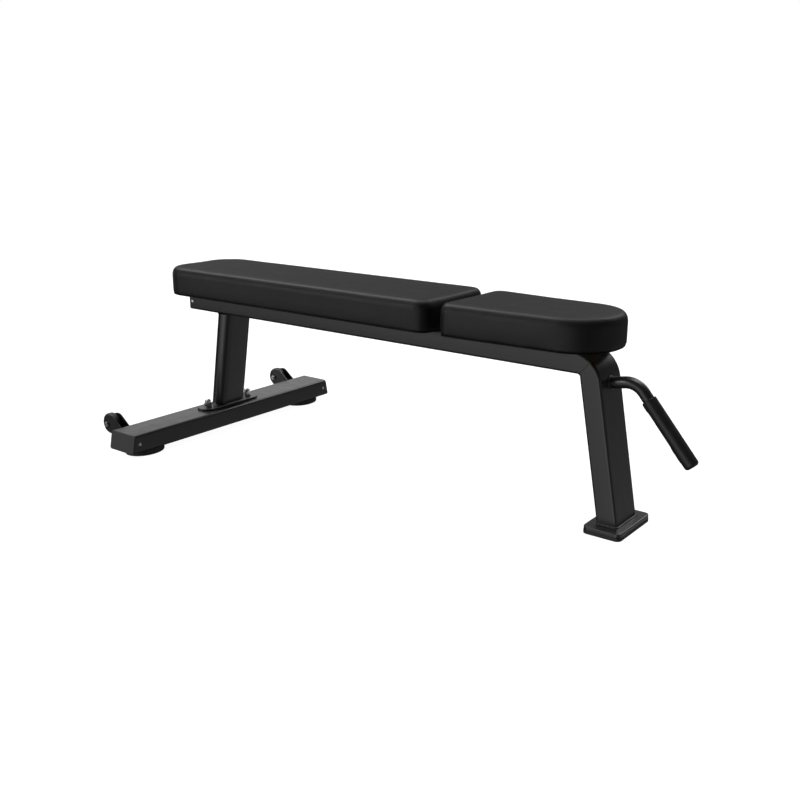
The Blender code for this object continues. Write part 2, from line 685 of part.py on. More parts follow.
def wheel_set(side, suffix):
    """Two cheeks, bush, wheel, axle bolt and nut at one end of the cross foot."""
    y = side * WHEEL_Y
    reach = CHEEK_GAP / 2 + CHEEK_THICKNESS / 2
    outside = CHEEK_GAP / 2 + CHEEK_THICKNESS + GAP
    cheek("wheel_cheek_outer_" + suffix, y + side * reach)
    cheek("wheel_cheek_inner_" + suffix, y - side * reach)
    wheel("wheel_" + suffix, y)
    bush("wheel_bush_" + suffix, y)
    outward = ALONG_Y if side > 0 else STAND_UP
    inward = STAND_UP if side > 0 else ALONG_Y
    hex_bolt("axle_bolt_" + suffix, 0.0125, 0.0050, AXLE_RADIUS, 2 * outside + 0.0085, outward,
             shifted(WHEEL_X, y + side * outside, WHEEL_Z))
    hex_nut("axle_nut_" + suffix, 0.0125, 0.0062, AXLE_RADIUS + GAP, inward,
            shifted(WHEEL_X, y - side * outside, WHEEL_Z))


# ---------------------------------------------------------------- handle


def handle_corner():
    return Vector((HANDLE_CORNER[0], 0, HANDLE_CORNER[1]))


def handle_out():
    """Direction of the handle's first run, square to the leg's outer face."""
    return Vector((1, 0, -FRONT_LEG_LEAN)).normalized()


def handle_down():
    """Direction of the handle's second run, along the grip."""
    return Vector((math.cos(HANDLE_DROP), 0, -math.sin(HANDLE_DROP)))


def handle_path(overrun, overshoot):
    """Centre line: square out of the leg, one bend, then straight down to the grip's end."""
    out = handle_out()
    rise = math.atan2(out.z, out.x)
    tangent = HANDLE_BEND_RADIUS * math.tan((rise + HANDLE_DROP) / 2)
    start = handle_corner() - out * tangent
    centre = (start.x + HANDLE_BEND_RADIUS * out.z, start.z - HANDLE_BEND_RADIUS * out.x)
    bend = arc(centre, HANDLE_BEND_RADIUS, math.pi / 2 + rise, math.pi / 2 - HANDLE_DROP, 9)
    first = handle_corner() - out * (HANDLE_RUN + overrun)
    end = handle_corner() + handle_down() * (GRIP_START + GRIP_LENGTH - 0.006 + overshoot)
    return [first] + [Vector((x, 0, z)) for x, z in bend] + [end]


def tube_mesh(points, radius, sides):
    curve = bpy.data.curves.new("tube", 'CURVE')
    curve.dimensions = '3D'
    curve.bevel_depth = radius
    curve.bevel_resolution = sides // 2 - 2
    curve.use_fill_caps = True
    spline = curve.splines.new('POLY')
    spline.points.add(len(points) - 1)
    for point, place_at in zip(spline.points, points):
        point.co = (*place_at, 1.0)
    return curve_mesh(curve)


def handle_tube():
    part = place(tube_mesh(handle_path(0, 0), HANDLE_RADIUS, 20), "handle_tube", POWDER_COAT)
    bore = tube_mesh(handle_path(0.01, 0.01), HANDLE_RADIUS - HANDLE_WALL, 12)
    return cut(part, place(bore, "handle_bore", POWDER_COAT))


def finger_ridge(along):
    """How far the grip's underside stands out, along its length from 0 at the upper end."""
    ridge = 0.0
    for centre, width, height in ((0.010, 0.009, 0.0012), (0.108, 0.008, 0.0011), (0.124, 0.008, 0.0011)):
        ridge = max(ridge, height * math.exp(-((along - centre) / width) ** 4))
    return ridge


def handle_grip():
    """Closed sleeve over the handle's end, with finger ridges on its underside."""
    bore = HANDLE_RADIUS + GAP
    radius = GRIP_RADIUS
    tip = GRIP_LENGTH
    outer = [(bore, 0), (radius - 0.001, 0), (radius, 0.001)]
    outer += [(radius, tip * i / 28) for i in range(1, 27)]
    rim = 0.0065
    outer += [(radius - rim + r, tip - rim + z) for r, z in arc((0, 0), rim, 0, math.pi / 2, 5)]
    outer += [(0, tip)]
    inner = [(0, tip - 0.005), (bore, tip - 0.005), (bore, 0)]
    mesh = bpy.data.meshes.new("handle_grip")
    profile = outer + inner
    shape = bmesh.new()
    ring = [shape.verts.new((r, 0, -z)) for r, z in profile]
    edges = [shape.edges.new(pair) for pair in zip(ring, ring[1:])]
    bmesh.ops.spin(shape, geom=ring + edges, cent=(0, 0, 0), axis=(0, 0, 1), angle=2 * math.pi,
                   steps=18, use_merge=True)
    bmesh.ops.remove_doubles(shape, verts=shape.verts, dist=0.00001)
    for vertex in shape.verts:
        distance = math.hypot(vertex.co.x, vertex.co.y)
        if distance > radius - 0.0005 and vertex.co.x < 0:
            under = (vertex.co.x / distance) ** 2
            swell = 1 + finger_ridge(-vertex.co.z) * under / distance
            vertex.co.x *= swell
            vertex.co.y *= swell
    bmesh.ops.recalc_face_normals(shape, faces=shape.faces)
    shape.to_mesh(mesh)
    shape.free()
    turn = Matrix.Rotation(HANDLE_DROP - math.pi / 2, 4, 'Y')
    move(mesh, turn, Matrix.Translation(handle_corner() + handle_down() * GRIP_START))
    return place(mesh, "handle_grip", RUBBER)


# ---------------------------------------------------------------- the bench

SIDES = ((-1, "left"), (1, "right"))

cross_foot()
for side, suffix in SIDES:
    cross_foot_cap(side, "cross_foot_cap_" + suffix)
    cap_screw(side, "cap_screw_" + suffix)
    rubber_foot(side, "rubber_foot_" + suffix)
    foot_screw(side, "foot_screw_" + suffix)
    wheel_set(side, suffix)

rear_leg()
rear_leg_plate()
for side, suffix in SIDES:
    rear_leg_fastening(side, suffix)

main_beam()
beam_end_cap()
beam_cap_screw()
front_leg()
front_foot()

middle_back = MIDDLE_BRACKET_X - MIDDLE_SCREW_SPREAD
middle_seat = MIDDLE_BRACKET_X + MIDDLE_SCREW_SPREAD
bracket("rear_pad_bracket", REAR_BRACKET_X, NARROW_BRACKET, [REAR_BRACKET_X])
bracket("middle_pad_bracket", MIDDLE_BRACKET_X, WIDE_BRACKET, [middle_back, middle_seat])
bracket("front_pad_bracket", FRONT_BRACKET_X, NARROW_BRACKET, [FRONT_BRACKET_X])
pad("back_pad", BACK_PAD, BACK_PAD_HALVES, BACK_PAD_CORNERS)
board("back_pad_board", BACK_PAD, BACK_PAD_HALVES, BACK_PAD_CORNERS, [REAR_BRACKET_X, middle_back])
pad_screws("back_pad", [REAR_BRACKET_X, middle_back])
pad("seat_pad", SEAT_PAD, SEAT_PAD_HALVES, SEAT_PAD_CORNERS)
board("seat_pad_board", SEAT_PAD, SEAT_PAD_HALVES, SEAT_PAD_CORNERS, [middle_seat, FRONT_BRACKET_X])
pad_screws("seat_pad", [middle_seat, FRONT_BRACKET_X])

handle_tube()
handle_grip()
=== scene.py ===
"""Looks for the flat weight bench: upholstered pads, powder-coated frame, welds, fasteners, studio."""

import json
import math

import bmesh
import bpy
from mathutils import Matrix, Vector


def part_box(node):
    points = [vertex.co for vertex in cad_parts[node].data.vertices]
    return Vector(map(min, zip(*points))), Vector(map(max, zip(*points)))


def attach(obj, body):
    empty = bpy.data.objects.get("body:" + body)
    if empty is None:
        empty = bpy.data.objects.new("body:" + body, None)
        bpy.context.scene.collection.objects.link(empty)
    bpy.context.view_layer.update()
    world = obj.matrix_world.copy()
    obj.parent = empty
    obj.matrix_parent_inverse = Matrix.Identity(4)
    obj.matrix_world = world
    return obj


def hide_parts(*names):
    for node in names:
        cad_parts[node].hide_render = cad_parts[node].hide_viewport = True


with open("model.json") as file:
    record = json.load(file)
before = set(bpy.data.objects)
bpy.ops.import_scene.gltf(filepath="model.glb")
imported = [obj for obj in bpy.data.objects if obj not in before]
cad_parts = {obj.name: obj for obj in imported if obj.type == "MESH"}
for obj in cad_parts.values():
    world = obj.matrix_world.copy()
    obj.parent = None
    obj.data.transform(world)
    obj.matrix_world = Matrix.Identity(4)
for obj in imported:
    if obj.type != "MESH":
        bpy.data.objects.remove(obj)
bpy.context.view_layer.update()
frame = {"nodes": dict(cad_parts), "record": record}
NODES = frame["nodes"]
FRAME_BODY = "frame"
SCENE = bpy.context.scene

# ---------------------------------------------------------------- sizes, in metres

# half widths at the wheel end and at the front end, and the plan radii there
BACK_PAD_PLAN = ((0.119, 0.119), (0.074, 0.030))
SEAT_PAD_PLAN = ((0.1155, 0.0980), (0.024, 0.098))
FOAM_LIP = 0.008                      # tight rounding where the top turns over
FOAM_SHOULDER = 0.021                 # wide rounding from there down to the side
FOAM_LOWER_ROUND = 0.003
CROWN = 0.002                         # how far the middle of a pad stands proud of its CAD solid
FOAM_SHRINK = 0.0015                  # how much smaller the foam starts before it swells
SWELL_LIMIT = 0.0028
SWELL_SMOOTHING = 30
VOXEL = 0.0045
FOAM_STEPS = 28                       # steps round each corner of the foam's plan
HELD_HEIGHT = 0.006                   # the cover is held to the board up to here
CLOTH_FRAMES = 20
BOARD_INSET = 0.014
GAP = 0.0003
HEM_ANGLE = math.radians(50)          # the cover shows a fold where it turns more sharply than this


def middle(node):
    low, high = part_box(node)
    return (low + high) / 2


FOOT_X = middle("cross_foot").x

# ---------------------------------------------------------------- node trees


def feed(tree, socket, value):
    """Links the value if it is a socket, or sets it."""
    if isinstance(value, bpy.types.NodeSocket):
        tree.links.new(value, socket)
    else:
        socket.default_value = value


def add(tree, kind, inputs=None, **settings):
    """A shader node with its settings, and its inputs given as values or as sockets to link."""
    made = tree.nodes.new("ShaderNode" + kind)
    for name, value in settings.items():
        setattr(made, name, value)
    for name, value in (inputs or {}).items():
        feed(tree, made.inputs[name], value)
    return made


def math_node(tree, operation, a, b=0.0, clamp=False):
    return add(tree, "Math", {0: a, 1: b}, operation=operation, use_clamp=clamp).outputs[0]


def noise(tree, point, scale, detail=2.0, roughness=0.5, distortion=0.0):
    made = add(tree, "TexNoise", {"Vector": point, "Scale": scale, "Detail": detail,
                                  "Roughness": roughness, "Distortion": distortion})
    return made.outputs["Fac"]


def spread(tree, value, low, high, start=0.0, end=1.0):
    """Maps value from start..end to low..high, held at both ends."""
    made = add(tree, "MapRange", {"Value": value, "From Min": start, "From Max": end,
                                  "To Min": low, "To Max": high}, clamp=True)
    return made.outputs["Result"]


def blend_colour(tree, factor, a, b):
    made = tree.nodes.new("ShaderNodeMix")
    made.data_type = 'RGBA'
    for number, value in ((0, factor), (6, a), (7, b)):
        feed(tree, made.inputs[number], value)
    return made.outputs[2]


def grey(level):
    return (level, level, level, 1.0)


def start_material(name, **constants):
    """A material with one Principled shader, and the object's own coordinates in metres."""
    material = bpy.data.materials.new(name)
    material.use_nodes = True
    tree = material.node_tree
    shader = tree.nodes["Principled BSDF"]
    for socket, value in constants.items():
        shader.inputs[socket.replace("_", " ")].default_value = value
    point = add(tree, "TexCoord").outputs["Object"]
    return material, tree, shader, point


def finish_material(tree, shader, colour=None, roughness=None, bumps=()):
    """Links colour and roughness, and stacks bumps given as (height, distance, strength)."""
    if colour is not None:
        tree.links.new(colour, shader.inputs["Base Color"])
    if roughness is not None:
        tree.links.new(roughness, shader.inputs["Roughness"])
    normal = None
    for height, distance, strength in bumps:
        inputs = {"Height": height, "Distance": distance, "Strength": strength}
        if normal is not None:
            inputs["Normal"] = normal
        normal = add(tree, "Bump", inputs).outputs["Normal"]
    if normal is not None:
        tree.links.new(normal, shader.inputs["Normal"])


def edge_mask(tree, radius, low=0.03, high=0.18):
    """1 on edges and corners of the surface, 0 on its flat parts."""
    rounded = add(tree, "Bevel", {"Radius": radius}, samples=4).outputs["Normal"]
    flat = add(tree, "NewGeometry").outputs["Normal"]
    dot = add(tree, "VectorMath", {0: rounded, 1: flat}, operation='DOT_PRODUCT').outputs["Value"]
    return spread(tree, math_node(tree, 'SUBTRACT', 1.0, dot), 0.0, 1.0, low, high)


# ---------------------------------------------------------------- materials


def powder_coat():
    material, tree, shader, point = start_material("powder_coat_satin")
    shader.inputs["IOR"].default_value = 1.5
    shader.inputs["Coat Weight"].default_value = 0.5
    shader.inputs["Coat Roughness"].default_value = 0.17
    shader.inputs["Coat IOR"].default_value = 1.5
    peel = noise(tree, point, 950.0, 3.0, 0.6)
    cloud = noise(tree, point, 45.0, 3.0)
    patch = noise(tree, point, 7.0, 2.0)
    # the coat turns a lighter grey on edges and corners: partly worn coat, partly a painted highlight along
    # the rounded edges
    wear_and_edge_highlight = math_node(tree, 'MULTIPLY', edge_mask(tree, 0.0012), spread(tree, cloud, 0.0, 0.6, 0.45, 0.75))
    coat = blend_colour(tree, patch, (0.0165, 0.0168, 0.0170, 1), (0.0235, 0.0238, 0.0240, 1))
    colour = blend_colour(tree, wear_and_edge_highlight, coat, grey(0.075))
    roughness = spread(tree, cloud, 0.30, 0.40, 0.3, 0.7)
    finish_material(tree, shader, colour, roughness, [(peel, 0.00010, 0.35)])
    return material


def vinyl():
    material, tree, shader, point = start_material("upholstery_vinyl")
    shader.inputs["IOR"].default_value = 1.40
    warp = add(tree, "TexNoise", {"Vector": point, "Scale": 260.0, "Detail": 1.0}).outputs["Color"]
    shifted = add(tree, "VectorMath", {0: warp, 1: (0.0016, 0.0016, 0.0016)}, operation='MULTIPLY').outputs[0]
    bent = add(tree, "VectorMath", {0: point, 1: shifted}, operation='ADD').outputs[0]
    cells = add(tree, "TexVoronoi", {"Vector": bent, "Scale": 820.0}, feature='DISTANCE_TO_EDGE')
    grain = spread(tree, cells.outputs["Distance"], 0.0, 1.0, 0.02, 0.28)
    fine = noise(tree, point, 2400.0, 2.0)
    cloud = noise(tree, point, 28.0, 3.0)
    patch = noise(tree, point, 5.0, 2.0)
    colour = blend_colour(tree, patch, (0.0095, 0.0095, 0.0097, 1), (0.0135, 0.0135, 0.0138, 1))
    # painted shade: the grain's crevices are made darker in colour, standing in for the shade that falls in
    # them
    crevice_shaded = blend_colour(tree, grain, grey(0.007), colour)
    roughness = math_node(tree, 'ADD', spread(tree, cloud, 0.42, 0.46, 0.3, 0.7),
                          spread(tree, grain, 0.08, 0.0))
    finish_material(tree, shader, crevice_shaded, roughness, [(grain, 0.00012, 0.30), (fine, 0.00004, 0.25)])
    return material


def rubber(name, level, low, high, dusty=0.0):
    material, tree, shader, point = start_material(name)
    fine = noise(tree, point, 1500.0, 3.0, 0.65)
    cloud = noise(tree, point, 60.0, 3.0)
    colour = blend_colour(tree, cloud, grey(level * 0.8), grey(level * 1.25))
    if dusty:
        scuff = math_node(tree, 'MULTIPLY', edge_mask(tree, 0.0025), spread(tree, cloud, 0.2, 1.0, 0.4, 0.65))
        colour = blend_colour(tree, scuff, colour, grey(dusty))
    finish_material(tree, shader, colour, spread(tree, cloud, low, high, 0.3, 0.7), [(fine, 0.00008, 0.4)])
    return material


def grip_rubber():
    """Moulded grip: rows of small pyramids pressed into the sleeve."""
    material, tree, shader, point = start_material("grip_rubber_moulded")
    knurl = add(tree, "TexVoronoi", {"Vector": point, "Scale": 620.0, "Randomness": 0.25})
    dimple = spread(tree, knurl.outputs["Distance"], 1.0, 0.0, 0.15, 0.55)
    cloud = noise(tree, point, 70.0, 3.0)
    colour = blend_colour(tree, cloud, grey(0.013), grey(0.020))
    finish_material(tree, shader, colour, spread(tree, cloud, 0.36, 0.46, 0.3, 0.7),
                    [(dimple, 0.00014, 0.22)])
    return material


def plastic():
    material, tree, shader, point = start_material("moulded_plastic")
    fine = noise(tree, point, 1900.0, 2.0, 0.6)
    cloud = noise(tree, point, 50.0, 2.0)
    colour = blend_colour(tree, cloud, grey(0.019), grey(0.027))
    finish_material(tree, shader, colour, spread(tree, cloud, 0.42, 0.52, 0.3, 0.7), [(fine, 0.00008, 0.35)])
    return material


def zinc():
    material, tree, shader, point = start_material("zinc_plated_steel")
    shader.inputs["Metallic"].default_value = 1.0
    cloud = noise(tree, point, 240.0, 3.0)
    fine = noise(tree, point, 2600.0, 2.0)
    colour = blend_colour(tree, cloud, (0.52, 0.53, 0.55, 1), (0.70, 0.70, 0.71, 1))
    finish_material(tree, shader, colour, spread(tree, cloud, 0.22, 0.36, 0.3, 0.7), [(fine, 0.00003, 0.3)])
    return material


def plywood():
    """Birch plywood: long grain on the faces, thin crossed layers on the edges."""
    material, tree, shader, point = start_material("birch_plywood")
    stretched = add(tree, "Mapping", {"Vector": point, "Scale": (6.0, 130.0, 130.0)}).outputs[0]
    grain = noise(tree, stretched, 1.6, 5.0, 0.6, 0.4)
    cloud = noise(tree, point, 11.0, 3.0)
    face = blend_colour(tree, grain, (0.36, 0.235, 0.125, 1), (0.56, 0.41, 0.25, 1))
    face = blend_colour(tree, spread(tree, cloud, 0.0, 0.35), face, (0.42, 0.27, 0.14, 1))
    height = add(tree, "SeparateXYZ", {0: point}).outputs[2]
    layer = math_node(tree, 'PINGPONG', height, 0.0014)
    edge = blend_colour(tree, spread(tree, layer, 0.0, 1.0, 0.0004, 0.0010),
                        (0.22, 0.125, 0.055, 1), (0.52, 0.37, 0.21, 1))
    up = add(tree, "SeparateXYZ", {0: add(tree, "NewGeometry").outputs["Normal"]}).outputs[2]
    flat = math_node(tree, 'GREATER_THAN', math_node(tree, 'ABSOLUTE', up), 0.6)
    colour = blend_colour(tree, flat, edge, face)
    finish_material(tree, shader, colour, spread(tree, grain, 0.55, 0.75), [(grain, 0.0002, 0.3)])
    return material


def nylon():
    material, tree, shader, point = start_material("natural_nylon")
    cloud = noise(tree, point, 300.0, 2.0)
    colour = blend_colour(tree, cloud, (0.66, 0.65, 0.60, 1), (0.76, 0.75, 0.71, 1))
    finish_material(tree, shader, colour, spread(tree, cloud, 0.3, 0.42), [(cloud, 0.00005, 0.3)])
    return material


POWDER = powder_coat()
VINYL = vinyl()
SOLE_RUBBER = rubber("foot_rubber", 0.020, 0.48, 0.62)
TYRE_RUBBER = rubber("tyre_rubber", 0.022, 0.45, 0.60, dusty=0.060)
GRIP = grip_rubber()
PLASTIC = plastic()
ZINC = zinc()
PLY = plywood()
NYLON = nylon()

LOOKS = {"powder_coat": POWDER, "vinyl": VINYL, "rubber": SOLE_RUBBER, "wheel_rubber": TYRE_RUBBER,
         "grip_rubber": GRIP, "black_plastic": PLASTIC, "plywood": PLY, "zinc_plate": ZINC, "nylon": NYLON}

# ---------------------------------------------------------------- the CAD nodes

SHARP_ANGLE = math.radians(38)        # where two faces meet more sharply than this, it is an edge
FACET_WELD = 0.00001
FLAT_WEIGHT = 50                      # lets the large faces decide the shading at their borders
FINE_HARDWARE = ("screw", "nut", "washer", "bush")
SMOOTH_NODES = ("handle_grip", "handle_tube", "wheel_left", "wheel_right", "back_pad", "seat_pad")
HARDWARE_EDGE = 0.00015
BOLT_EDGE = 0.00025
FRAME_EDGE = 0.0005


def soften(piece, width):
    """Joins the facets of a CAD node, rounds its sharp edges a little, and shades its round
    faces smooth and its large faces flat."""
    mesh = piece.data
    if "custom_normal" in mesh.attributes:
        mesh.attributes.remove(mesh.attributes["custom_normal"])
    for polygon in mesh.polygons:
        polygon.use_smooth = True
    weld = piece.modifiers.new("weld", 'WELD')
    weld.merge_threshold = FACET_WELD
    if width:
        bevel = piece.modifiers.new("round", 'BEVEL')
        bevel.width = width
        bevel.segments = 2
        bevel.limit_method = 'ANGLE'
        bevel.angle_limit = SHARP_ANGLE
        bevel.harden_normals = True
    split = piece.modifiers.new("split", 'EDGE_SPLIT')
    split.split_angle = SHARP_ANGLE
    flat = piece.modifiers.new("flat", 'WEIGHTED_NORMAL')
    flat.mode = 'FACE_AREA'
    flat.weight = FLAT_WEIGHT
    flat.keep_sharp = True


def edge_width(name):
    """How far a node's sharp edges are rounded."""
    if any(word in name for word in FINE_HARDWARE):
        return HARDWARE_EDGE
    if "bolt" in name:
        return BOLT_EDGE
    return 0.0 if name in SMOOTH_NODES else FRAME_EDGE


SLOT_OF = {part["node"]: part["material_slot"] for part in frame["record"]["subparts"]}
for name, piece in NODES.items():
    piece.data.materials.clear()
    piece.data.materials.append(LOOKS[SLOT_OF[name]])
    soften(piece, edge_width(name))

# ---------------------------------------------------------------- small mesh helpers


def new_piece(name, mesh, material, smooth=True):
    """A visible piece that rides on the frame."""
    piece = bpy.data.objects.new(name, mesh)
    SCENE.collection.objects.link(piece)
    piece.data.materials.append(material)
    for polygon in piece.data.polygons:
        polygon.use_smooth = smooth
    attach(piece, FRAME_BODY)


def mesh_from(name, build):
    """A mesh made by build(bm)."""
    shape = bmesh.new()
    build(shape)
    bmesh.ops.recalc_face_normals(shape, faces=shape.faces)
    mesh = bpy.data.meshes.new(name)
    shape.to_mesh(mesh)
    shape.free()
    return mesh


def arc(centre, radius, start, end, steps):
    turn = (end - start) / steps
    return [(centre[0] + radius * math.cos(start + turn * i),
             centre[1] + radius * math.sin(start + turn * i))
            for i in range(steps + 1)]


def pad_outline(low, high, plan, inset, steps=14):
    """Plan of a pad as points, anticlockwise, shrunk by an inset."""
    halves, corners = plan
    slope = (halves[0] - halves[1]) / (high.x - low.x)
    tilt = math.atan(slope)
    near, far = [radius - inset for radius in corners]

    def centre(x, radius):
        return x, halves[0] - slope * (x - low.x) - (inset + radius) / math.cos(tilt)

    upper = arc(centre(high.x - inset - far, far), far, 0, math.pi / 2 - tilt, steps)
    upper += arc(centre(low.x + inset + near, near), near, math.pi / 2 - tilt, math.pi, steps)
    return upper + [(x, -y) for x, y in reversed(upper)]


def skin(shape, rings, looped=False):
    """Faces between rings of equal length. The ends are closed, unless the last ring meets the first."""
    made = [[shape.verts.new(point) for point in ring] for ring in rings]
    following = made[1:] + made[:1] if looped else made[1:]
    for lower, upper in zip(made, following):
        for i in range(len(lower)):
            j = (i + 1) % len(lower)
            shape.faces.new((lower[i], lower[j], upper[j], upper[i]))
    if not looped:
        shape.faces.new(list(reversed(made[0])))
        shape.faces.new(made[-1])


# ---------------------------------------------------------------- pads


def foam(low, high, plan, shrink):
    """The pad's foam as a closed block with rounded edges, smaller by shrink above and all round."""
    bottom, top = low.z, high.z - shrink
    lower = FOAM_LOWER_ROUND
    half_turn = math.pi / 4
    lip_width = FOAM_LIP * math.sin(half_turn)
    lip_drop = FOAM_LIP * (1 - math.cos(half_turn))
    shoulder_width = FOAM_SHOULDER * (1 - math.sin(half_turn))
    profile = [(lower * (1 - math.sin(a)), bottom + lower * (1 - math.cos(a)))
               for a in (math.pi / 2 * i / 4 for i in range(5))]
    profile += [(FOAM_SHOULDER * (1 - math.sin(a)),
                 top - lip_drop - FOAM_SHOULDER * (math.cos(half_turn) - math.cos(a)))
                for a in (math.pi / 2 - half_turn * i / 9 for i in range(9))]
    profile += [(shoulder_width + lip_width - FOAM_LIP * math.sin(a), top - FOAM_LIP * (1 - math.cos(a)))
                for a in (half_turn * (1 - i / 7) for i in range(8))]

    def build(shape):
        skin(shape, [[(x, y, z) for x, y in pad_outline(low, high, plan, shrink + inset, FOAM_STEPS)]
                     for inset, z in profile])

    return mesh_from("foam", build)


def neighbours(mesh):
    near = [[] for _ in mesh.vertices]
    for edge in mesh.edges:
        a, b = edge.vertices
        near[a].append(b)
        near[b].append(a)
    return near


def swell(piece, base):
    """Blows the cover up over its foam: its lower edge is held, and no point moves past the limit.

    The cover is taut, so only the evened-out push along the surface normal is kept."""
    held = piece.vertex_groups.new(name="held")
    start = [v.co.copy() for v in piece.data.vertices]
    normals = [v.normal.copy() for v in piece.data.vertices]
    held.add([i for i, co in enumerate(start) if co.z < base + HELD_HEIGHT], 1.0, 'REPLACE')
    cloth = piece.modifiers.new("cloth", 'CLOTH')
    settings = cloth.settings
    settings.quality = 5
    settings.mass = 0.3
    settings.tension_stiffness = 18
    settings.compression_stiffness = 18
    settings.shear_stiffness = 8
    settings.bending_stiffness = 2.5
    settings.use_pressure = True
    settings.uniform_pressure_force = 4.0
    settings.vertex_group_mass = "held"
    settings.effector_weights.gravity = 0.0
    cloth.collision_settings.use_collision = False
    cloth.point_cache.frame_start = 1
    cloth.point_cache.frame_end = CLOTH_FRAMES
    for number in range(1, CLOTH_FRAMES + 1):
        SCENE.frame_set(number)
    shown = piece.evaluated_get(bpy.context.evaluated_depsgraph_get()).data
    push = []
    for vertex, before, normal in zip(shown.vertices, start, normals):
        push.append(max(0.0, min(SWELL_LIMIT, (vertex.co - before).dot(normal))))
    piece.modifiers.remove(cloth)
    near = neighbours(piece.data)
    for _ in range(SWELL_SMOOTHING):
        push = [0.5 * push[i] + 0.5 * sum(push[j] for j in near[i]) / len(near[i])
                for i in range(len(push))]
    for vertex, before, normal, reach in zip(piece.data.vertices, start, normals, push):
        vertex.co = before + normal * reach
    SCENE.frame_set(1)


def relax(piece, rounds):
    """Evens out the surface."""
    shape = bmesh.new()
    shape.from_mesh(piece.data)
    for _ in range(rounds):
        bmesh.ops.smooth_vert(shape, verts=shape.verts, factor=0.5,
                              use_axis_x=True, use_axis_y=True, use_axis_z=True)
    shape.to_mesh(piece.data)
    shape.free()


def fit(piece, low, high):
    """Stretches the pad a little so that it fills the box of its CAD solid."""
    mesh = piece.data
    least = Vector([min(v.co[i] for v in mesh.vertices) for i in range(3)])
    most = Vector([max(v.co[i] for v in mesh.vertices) for i in range(3)])
    for vertex in mesh.vertices:
        for i in range(3):
            share = (vertex.co[i] - least[i]) / (most[i] - least[i])
            vertex.co[i] = low[i] + share * (high[i] - low[i])


def apply_modifier(piece, kind, **settings):
    """Gives the piece the mesh that one more modifier makes of it."""
    made = piece.modifiers.new(kind.lower(), kind)
    for name, value in settings.items():
        setattr(made, name, value)
    bpy.context.view_layer.update()
    shown = piece.evaluated_get(bpy.context.evaluated_depsgraph_get())
    mesh = bpy.data.meshes.new_from_object(shown)
    piece.modifiers.remove(made)
    old = piece.data
    piece.data = mesh
    bpy.data.meshes.remove(old)


def make_pad(node, plan):
    """The upholstered cushion that stands for a pad's CAD solid, hollowed below for its board."""
    low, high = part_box(node)
    piece = bpy.data.objects.new(node + "_cushion", foam(low, high, plan, FOAM_SHRINK))
    SCENE.collection.objects.link(piece)
    block = bpy.data.objects.new("block", foam(low, high, plan, FOAM_SHRINK))
    SCENE.collection.objects.link(block)
    apply_modifier(piece, 'REMESH', mode='VOXEL', voxel_size=VOXEL)
    apply_modifier(piece, 'SHRINKWRAP', target=block)
    swell(piece, low.z)
    bpy.data.objects.remove(block)
    relax(piece, 2)
    apply_modifier(piece, 'SUBSURF', levels=1)
    relax(piece, 2)
    fit(piece, low, high + Vector((0, 0, CROWN)))
    board_low, board_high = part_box(node + "_board")
    hollow = bpy.data.objects.new("hollow", mesh_from("hollow", lambda shape: skin(shape, [
        [(x, y, z) for x, y in pad_outline(low, high, plan, BOARD_INSET - GAP)]
        for z in (board_low.z - 0.01, board_high.z + GAP)])))
    SCENE.collection.objects.link(hollow)
    apply_modifier(piece, 'BOOLEAN', operation='DIFFERENCE', object=hollow, solver='EXACT')
    bpy.data.objects.remove(hollow)
    piece.data.materials.clear()
    piece.data.materials.append(VINYL)
    for polygon in piece.data.polygons:
        polygon.use_smooth = True
    split = piece.modifiers.new("split", 'EDGE_SPLIT')
    split.split_angle = HEM_ANGLE
    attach(piece, FRAME_BODY)
    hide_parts(node)


make_pad("back_pad", BACK_PAD_PLAN)
make_pad("seat_pad", SEAT_PAD_PLAN)

# ---------------------------------------------------------------- welds

WELD_PITCH = 0.0024                   # from one ripple of a bead to the next
WELD_STEP = 0.0006
WELD_SIDES = 10
WELD_RADIUS = 0.0019
WELD_OFF = 0.0004                     # a bead's middle stands this far off the face it lies along
WELD_UP = 0.0006                      # and this far above the plate it lies on
HANDLE_WELD_RADIUS = 0.0016
CHEEK_WELD_RADIUS = 0.0017


def resample(points, step, closed):
    """Points at even steps along a polyline."""
    points = [Vector(p) for p in points]
    if closed:
        points.append(points[0].copy())
    total = sum((b - a).length for a, b in zip(points, points[1:]))
    count = max(4, round(total / step))
    made = []
    wanted = 0.0
    walked = 0.0
    for a, b in zip(points, points[1:]):
        length = (b - a).length
        while wanted <= walked + length + 1e-9 and len(made) < count + (0 if closed else 1):
            made.append(a.lerp(b, (wanted - walked) / max(length, 1e-9)))
            wanted += total / count
        walked += length
    return made


def weld(name, points, outward, radius=WELD_RADIUS, closed=False):
    """A rippled bead along a line, its domed side towards outward(point)."""
    line = resample(points, WELD_STEP, closed)
    count = len(line)

    def build(shape):
        rings = []
        for i, point in enumerate(line):
            if closed:
                along = line[(i + 1) % count] - line[i - 1]
            else:
                along = line[min(i + 1, count - 1)] - line[max(i - 1, 0)]
            along.normalize()
            out = Vector(outward(point)).normalized()
            out = (out - along * out.dot(along)).normalized()
            across = along.cross(out)
            phase = (i * WELD_STEP / WELD_PITCH) % 1.0
            ripple = 0.84 + 0.16 * math.sin(math.pi * phase) ** 0.7
            wander = 1 + 0.05 * math.sin(i * 0.071) + 0.04 * math.sin(i * 0.173 + 1.0)
            end = 1.0
            if not closed:
                near = min(i, count - 1 - i) * WELD_STEP / radius
                end = math.sqrt(min(1.0, max(0.02, 1 - (1 - min(near, 1.0)) ** 2)))
            size = radius * ripple * wander * end
            ring = []
            for k in range(WELD_SIDES):
                turn = 2 * math.pi * k / WELD_SIDES
                lift = math.sin(turn)
                lift = lift if lift > 0 else lift * 0.6
                ring.append(point + across * (size * 1.15 * math.cos(turn)) + out * (size * 0.8 * lift))
            rings.append(ring)
        skin(shape, rings, looped=closed)

    new_piece(name, mesh_from(name, build), POWDER)


